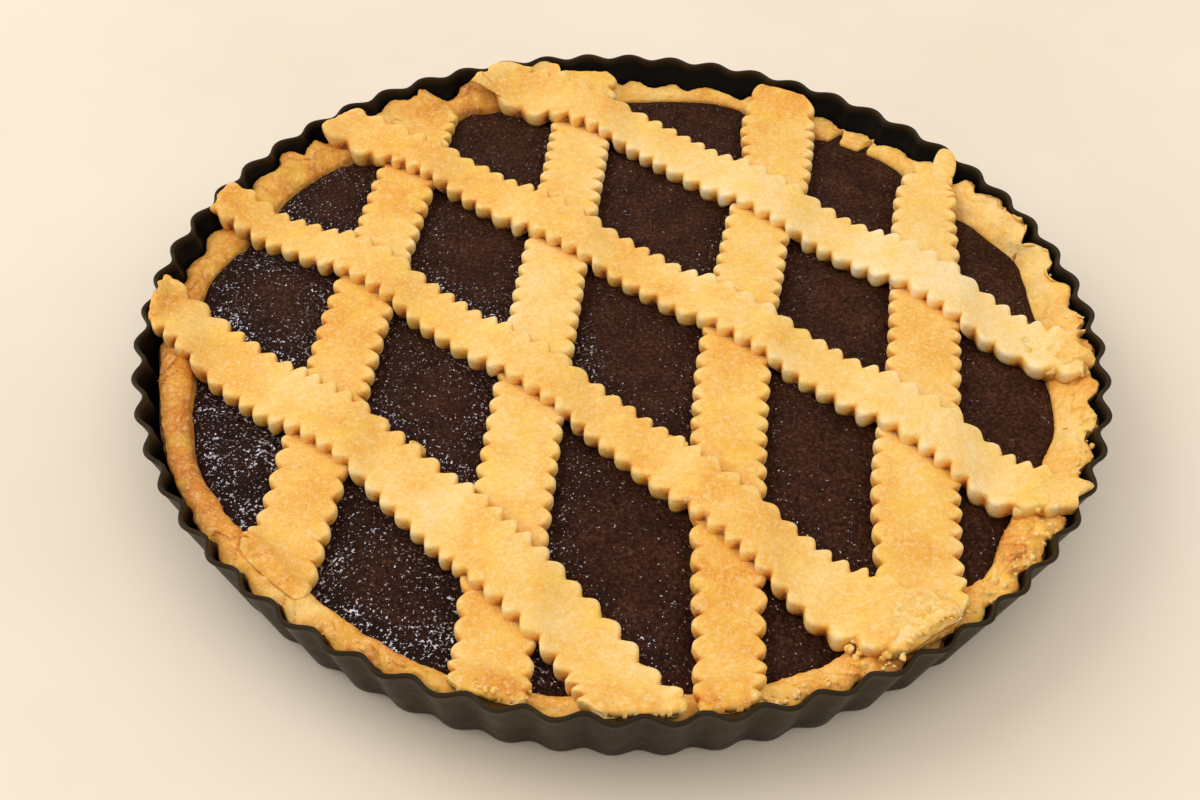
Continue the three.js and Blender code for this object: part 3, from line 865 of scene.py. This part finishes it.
def strip_body(strip, bed, bed_top, press):
    """A strip laid over bed: rows of points along it, each a closed loop round its section."""
    along = strip.along
    reaches, crumbles, bakes = np.reshape(STRIP_ENDS[strip.name], (3, 2))
    from_start, to_end = along, along[-1] - along
    from_end = np.minimum(from_start, to_end)
    thickness = strip_thickness(strip, from_end, to_end)
    halves = []
    for side, number in ((1, 2 * strip.number), (-1, 2 * strip.number + 1)):
        edge = strip_edge(strip, side, number, from_start, to_end)
        halves.append(half_section(strip, side, edge, thickness))

    section = [(0, -STRIP_SINK, 0, 0, 1), *halves[0], (0, thickness, 1, 0, 1), *halves[1][::-1]]
    lateral, height, top_share, edge_share, wave = (
        np.stack([value + 0 * along for value in column], 1) for column in zip(*section)
    )
    height = height + top_share * edge_share * (0.12 * wave - 0.5 * (1 - wave))

    x = strip.middle[:, 0:1] + strip.left[:, 0:1] * lateral
    y = strip.middle[:, 1:2] + strip.left[:, 1:2] * lateral
    for at_end, reach, distance in zip((False, True), reaches, (from_start, to_end)):
        shift, ahead = end_shift(strip, reach, at_end, lateral)
        weight = np.clip(1 - distance / 18, 0, 1)[:, None]
        x, y = x + ahead[0] * shift * weight, y + ahead[1] * shift * weight
    x, y, _ = np.moveaxis(kept_in_tin(np.stack([x, y, 0 * x + RIM_HEIGHT - 1], -1), 0.4), -1, 0)
    over = sample(bed_top, x, y)
    lift = sample(bed, x, y) * (1 - top_share) + over * top_share
    height = height * (1 - CROSSING_SQUEEZE * top_share * sample(press, x, y))
    grid = np.stack([x, y, lift + height], -1)
    warm = 0.09 * noise(grid, 32, 51) + 0.06 * noise(grid, 9, 52)

    crumble = crumbles[0] * smoothstep(15, 1, from_start) + crumbles[1] * smoothstep(15, 1, to_end)
    crumble = crumble[:, None]
    relief = 0.17 * crags(grid, 8, 11) + 0.09 * crags(grid, 1.8, 21)
    relief = relief + crumble * (0.7 * crags(grid, 5, 31) + 0.55 * crumbs(grid, 3.6, 33) - 0.2)
    grid = grid + grid_normals(grid) * (relief * np.maximum(top_share, 0.3))[..., None]

    base = (bakes[0] + (bakes[1] - bakes[0]) * along / along[-1])[:, None]
    base = base + 0.08 * smoothstep(16, 2, from_end)[:, None]
    hump = smoothstep(1.2, 4.2, over - sample(dome_bed, x, y))
    # The sides and underside are darker: partly browning, partly painted shade.
    bake = base + warm + 0.04 * hump + 0.06 * smoothstep(30, -130, x) + 0.16 * (1 - top_share)
    # Paler on the teeth's tips along the edges, a painted highlight, and darker in the hollows of the
    # crumbled ends and paler on their tops, painted shade.
    bake = bake - 0.22 * edge_share * wave - 0.35 * relief * crumble
    # Darker orange-brown in the notches between the teeth, most down the sides: painted shade in the
    # recesses, partly browning.
    bake = bake + 0.75 * (1 - wave) * smoothstep(0.4, 1.0, edge_share) * (1.15 - 0.6 * top_share)
    return closed_body(kept_in_tin(grid, 0.2), bake)


def dough_patch(outline, thickness, rounding, crumble, base_bake, floor_field):
    """A lump or flap of dough with the given outline, laid on what floor_field says."""
    knots = np.array(outline, float)
    t = np.linspace(0, 1, 16, endpoint=False)[:, None]
    neighbours = zip(*(np.roll(knots, shift, axis=0) for shift in (1, 0, -1, -2)))
    rim = np.concatenate([curve_span(*four, t) for four in neighbours])
    centre = rim.mean(0)
    span = np.linalg.norm(rim - centre, axis=1)
    foot = [(0.97, -1.0), (1.0, 0.0), (1.0, 0.4), (0.985, 1)]
    dome = [(share, 1) for share in 1 - np.linspace(0.1, 0.99, 26) ** 1.5]
    rows = []
    for share, up in foot + dome:
        x, y = (centre + (rim - centre) * share).T
        depth = (1 - share) * span + 0.15
        profile = np.sqrt(1 - (1 - np.clip(depth / rounding, 0, 1)) ** 2)
        z = sample(floor_field, x, y) - 0.4 + thickness * profile * max(up, 0) + 3 * min(up, 0)
        rows.append(np.stack([x, y, z], -1))
    grid = np.stack(rows)
    top = np.array([up > 0 for _, up in foot + dome])[:, None] * np.ones(len(rim))
    grit = 0.7 * crags(grid, 4, 143) + 0.5 * crumbs(grid, 2.7, 144) + 0.35 * crumbs(grid, 1.6, 147) - 0.4
    relief = 0.15 * crags(grid, 7, 141) + 0.1 * crags(grid, 2, 142) + crumble * grit
    # Darker in the crumbled hollows and paler on the crumbs' tops: painted shade.
    bake = base_bake + 0.1 * noise(grid, 9, 145) - 0.3 * relief * crumble + 0.12 * (1 - top)
    grid = kept_in_tin(grid - grid_normals(grid) * (relief * top)[..., None], 0.3)
    return closed_body(grid[::-1], bake[::-1])


def ball():
    """A small ball: an icosahedron with each face split in four."""
    mesh = bmesh.new()
    bmesh.ops.create_icosphere(mesh, subdivisions=2, radius=1.0)
    points = np.array([list(v.co) for v in mesh.verts])
    faces = [tuple(v.index for v in face.verts) for face in mesh.faces]
    mesh.free()
    return points, faces


def loose_crumbs(owner, floor_field):
    """Crumbs along the owner's crumbled edges, each a knobbly ball partly sunk in."""
    random = np.random.default_rng(OBJECT_SEED + sum(map(ord, owner)))
    points, faces = ball()
    bodies = []
    for name, line, width, count, largest in CRUMB_LINES:
        if name != owner:
            continue
        knots = np.array(line, float)
        for _ in range(count):
            at = random.random() * (len(knots) - 1)
            k = int(at)
            place = knots[k] + (knots[k + 1] - knots[k]) * (at - k) + random.normal(0, 0.5, 2) * width
            radius = largest * (0.35 + 0.65 * random.random() ** 1.6)
            turn = np.linalg.qr(random.normal(0, 1, (3, 3)))[0]
            body = points * (1 + 0.4 * noise(points + random.random(3) * 50, 0.8, 151))[:, None]
            body = body * (0.75 + 0.6 * random.random(3)) @ turn * radius
            place = kept_in_tin(np.array([*place, RIM_HEIGHT - 3]), -1.2)
            place[2] = sample(floor_field, place[0], place[1]) - 0.2 * radius
            # Each crumb paler on top and darker underneath: painted shade.
            shade = 0.34 + 0.22 * random.random() - 0.1 * body[:, 2] / radius
            bodies.append((body + place, faces, shade))
    return bodies


# ---- Crust ----

def crust_grid(angle):
    """The case's rings from its foot up its outer wall, over its rim and down its inner wall,
    with how much of the surface's relief each ring takes and how far across the rim it is."""
    inner = case_inner(angle)
    rows = []

    def row(radius, height, top, share):
        rows.append((ring(angle, radius, height), top, share))

    row(case_outer(angle, CRUST_FOOT) - 1.5, CRUST_FOOT, 0, 0)
    row(case_outer(angle, CRUST_FOOT), CRUST_FOOT + 0.8, 0, 0)
    shoulder = case_top(angle, 0.0) - 0.8
    for share in np.linspace(0.2, 1.0, 5):
        level = CRUST_FOOT + (shoulder - CRUST_FOOT) * share
        row(case_outer(angle, level), level, 0.2 * share, 0)
    outer = case_outer(angle, shoulder)
    for share in np.linspace(0, 1, 32):
        row(outer + (inner - outer) * share - 0.5 * (share == 0), case_top(angle, share), 1, share)
    edge = case_top(angle, 1.0)
    for drop, inset in ((0.8, 0.1), (2.0, 0.3), (3.8, 0.9)):
        row(inner - inset, edge - drop, 0.5, 1)
    row(BASE_RADIUS - 6.0, CRUST_FLOOR, 0, 1)
    rings, tops, across = zip(*rows)
    every = np.ones(len(angle))
    return np.stack(rings), np.array(tops)[:, None] * every, np.array(across)[:, None] * every


def build_crust(material):
    """The case, with a craggy surface."""
    angle = round_angles(1440)
    grid, top, share = crust_grid(angle)
    crumble, band = crumble_table(angle), band_table(angle)
    polar = np.stack([angle * 130 + 0 * share, share * 10, 0 * share], -1)
    slanted = np.stack([polar[..., 0] + 0.8 * polar[..., 1], polar[..., 1] / 2.6, 0 * share], -1)
    slanted = slanted + 0.5 * noise(grid, 3, 82)[..., None]

    lumps = 0.6 * crags(grid, 9, 61, 2) + 0.18 * crags(grid, 2.2, 71)
    grit = 0.9 * crags(grid, 5.5, 63) + 0.7 * np.abs(noise(grid, 3.1, 65)) + 0.5 * crumbs(grid, 3.4, 66)
    knobs = band * 0.8 * (1 - share) * crags(grid, 7, 69)
    pleats = band * 0.35 * noise(polar / [1, 4, 1], 3.4, 68) * (1 - share) ** 0.7
    crack = smoothstep(0.12, 0.0, np.abs(noise(slanted, 3.6, 81)))
    crack = crack * smoothstep(0.95, 0.4, share) * smoothstep(-0.2, 0.35, noise(grid, 12, 83))
    relief = lumps + knobs + crumble ** 1.5 * (grit - 0.55) + pleats - 0.6 * crack * (1 - 0.6 * band)

    bake = bake_table(angle) + 0.08 * noise(grid, 14, 91) + 0.07 * noise(grid, 4, 92)
    # Darker in the cracks and in the crumbled hollows, paler on the crumbs' tops: painted shade.
    bake = bake + 0.24 * crack - 0.12 * (relief - 0.1) * crumble + 0.10 * np.abs(2 * share - 1) ** 3
    bake = bake + 0.16 * (share == 0) + 0.25 * (top < 0.3)
    grid = kept_in_tin(grid + grid_normals(grid) * (relief * top)[..., None], 0.25)
    bodies = [closed_body(grid, bake)] + loose_crumbs("crust", ground)
    add_mesh("crust_case", join(bodies), material, "crust", "bake")


# ---- Filling ----

def build_filling(surface, wet_glint_shade_field):
    """The chocolate: a blistered top that turns down at the crust, and a plain underside."""
    angle = round_angles(720)
    edge = case_inner(angle) + 0.6
    rows = [ring(angle, BASE_RADIUS - 7, CRUST_FLOOR + 0.5)]
    for share in np.concatenate([[1.0, 0.997, 0.99], np.linspace(0.983, 0.01, 100)]):
        radius = edge * share
        height = sample(surface, radius * np.cos(angle), radius * np.sin(angle))
        rows.append(ring(angle, radius, height - 1.1 * smoothstep(3.5, 0.0, edge - radius) ** 1.5))
    grid = np.stack(rows)
    wet = sample(wet_glint_shade_field, grid[..., 0], grid[..., 1])
    blister, label = nearest_seed(grid, 2.6, 101)
    pits, pit_label = nearest_seed(grid, 6.5, 111)
    relief = 0.30 * crags(grid, 13, 121) + (0.07 + 0.2 * wet) * crags(grid, 2.4, 131)
    relief = relief + 0.7 * wet * np.clip(0.6 - blister, 0, 1) * (label > 0.3)
    relief = relief - 0.8 * smoothstep(0.28, 0.1, pits) * (pit_label > 0.86)
    relief[:3] = 0
    grid[..., 2] += relief
    body = closed_body(grid, wet)
    add_mesh("filling_chocolate", body, chocolate_material(), "filling", "wet")


# ---- The tart ----

build_tin()
dome_bed = dome_field()
ground = np.maximum.reduce([dome_bed, case_field(), wall_ramp()])

lower_strips = [Strip(name, line, 1 + k) for k, (name, line) in enumerate(LOWER_STRIPS.items())]
upper_strips = [Strip(name, line, 11 + k) for k, (name, line) in enumerate(UPPER_STRIPS.items())]
covers = {strip.name: strip.cover() for strip in lower_strips + upper_strips}

lower_bed = blurred(spread(ground, 1.2), 1.2)
lower_top = blurred(spread(ground, 1.2), 2.5)
upper_ground = ground.copy()
for strip in lower_strips:
    upper_ground = np.where(covers[strip.name] > -0.3, lower_bed + CROSSING_RISE, upper_ground)
upper_bed = blurred(spread(upper_ground, 1.2), 1.6)
upper_top = blurred(spread(upper_ground, 2.4), 3.6)
upper_cover = np.maximum.reduce([covers[strip.name] for strip in upper_strips])
pressed = blurred((upper_cover > 0.5).astype(float), 2.0)

dough_top = upper_ground.copy()
for strip in upper_strips:
    dough_top = np.where(covers[strip.name] > -0.3, upper_bed + STRIP_THICKNESS * 0.8, dough_top)
dough_top = blurred(dough_top, 1.5)

for strips, bed, top, press, slot in (
    (lower_strips, lower_bed, lower_top, pressed, "lower"),
    (upper_strips, upper_bed, upper_top, 0 * pressed, "upper"),
):
    material = dough_material("dough_" + slot)
    for strip in strips:
        bodies = [strip_body(strip, bed, top, press)]
        bodies += [dough_patch(*patch, dough_top) for patch in PATCHES.get(strip.name, ())]
        body = join(bodies + loose_crumbs(strip.name, dough_top))
        add_mesh(strip.name + "_dough", body, material, strip.name, "bake")

build_crust(dough_material("dough_crust"))

covered = np.maximum.reduce(list(covers.values()))
window = 1 - blurred((covered > -0.5).astype(float), 3.0)
surface = dome_bed - FILLING_SINK + FILLING_PUFF * smoothstep(0.35, 1.0, window)
# Where the chocolate is wet and where its painted glints and painted shade gather: along the edges of the
# cells and by the crust, and most on the left, where the lamps' reflections fall; fewer to the right.
shore = smoothstep(88, 124, raster_radius)
south_west = smoothstep(0.15, 1.0, np.cos(raster_angle - math.radians(205)))
edging = np.maximum(covered > -0.5, raster_radius > inner_table(raster_angle)).astype(float)
edging = smoothstep(0.02, 0.42, blurred(edging, 7.0))
wet_glint_shade_field = 0.14 + 0.16 * south_west - 0.2 * smoothstep(20, 110, raster_x)
wet_glint_shade_field = wet_glint_shade_field + edging * (0.22 + 0.2 * south_west) + shore * south_west * (0.2 + 0.45 * edging)
build_filling(surface, np.clip(wet_glint_shade_field, 0, 1))


# ---- Floor, light and camera ----

FLOOR_REACH = 4.0
FLOOR_DROP = 0.0002

WORLD_TINT = (1, 0.97, 0.93, 1)
WORLD_STRENGTH = 0.73

# Round lamps that shine on the tart: name, place, diameter, power and tint.
LAMPS = [
    ("window", (-2.3, 0.6, 1.9), 2.8, 42, (0.99, 0.98, 1.0)),
    ("fill", (0.5, -0.6, 2.2), 2.4, 12, (1.0, 0.96, 0.9)),
]
LAMP_AIM = Vector((0, 0, 0.02))

CAMERA_PLACE = Vector((0.0, -0.3965, 0.3586 + RIM_HEIGHT * MM))
CAMERA_AIM = Vector((-0.0056, -0.0313, RIM_HEIGHT * MM))
CAMERA_ROLL = math.radians(2.317)
CAMERA_LENS = 54.70


def build_floor():
    bpy.ops.mesh.primitive_plane_add(size=2 * FLOOR_REACH, location=(0, 0, -FLOOR_DROP))
    floor = bpy.context.object
    floor.name = "floor"
    floor.data.materials.append(floor_material())


def aim(thing, place, target, roll=0):
    """Puts a lamp or the camera at place, facing the target, and rolls it."""
    thing.location = place
    facing = (target - place).to_track_quat("-Z", "Y")
    thing.rotation_euler = (facing @ Quaternion((0, 0, 1), roll)).to_euler()


def build_lights():
    world = bpy.data.worlds.new("soft_room")
    world.use_nodes = True
    background = world.node_tree.nodes["Background"]
    background.inputs["Color"].default_value = WORLD_TINT
    background.inputs["Strength"].default_value = WORLD_STRENGTH
    bpy.context.scene.world = world
    for name, place, diameter, power, tint in LAMPS:
        light = bpy.data.lights.new(name, "AREA")
        light.shape = "DISK"
        light.size = diameter
        light.energy = power
        light.color = tint
        aim(add_object(name, light), Vector(place), LAMP_AIM)


def build_camera():
    """The camera stands in front of the tart and looks down on it, turned a little."""
    lens = bpy.data.cameras.new("camera")
    lens.lens = CAMERA_LENS
    camera = add_object("camera", lens)
    aim(camera, CAMERA_PLACE, CAMERA_AIM, CAMERA_ROLL)
    bpy.context.scene.camera = camera


build_floor()
build_lights()
build_camera()
bpy.context.scene.view_settings.view_transform = "Standard"

bpy.context.view_layer.update()
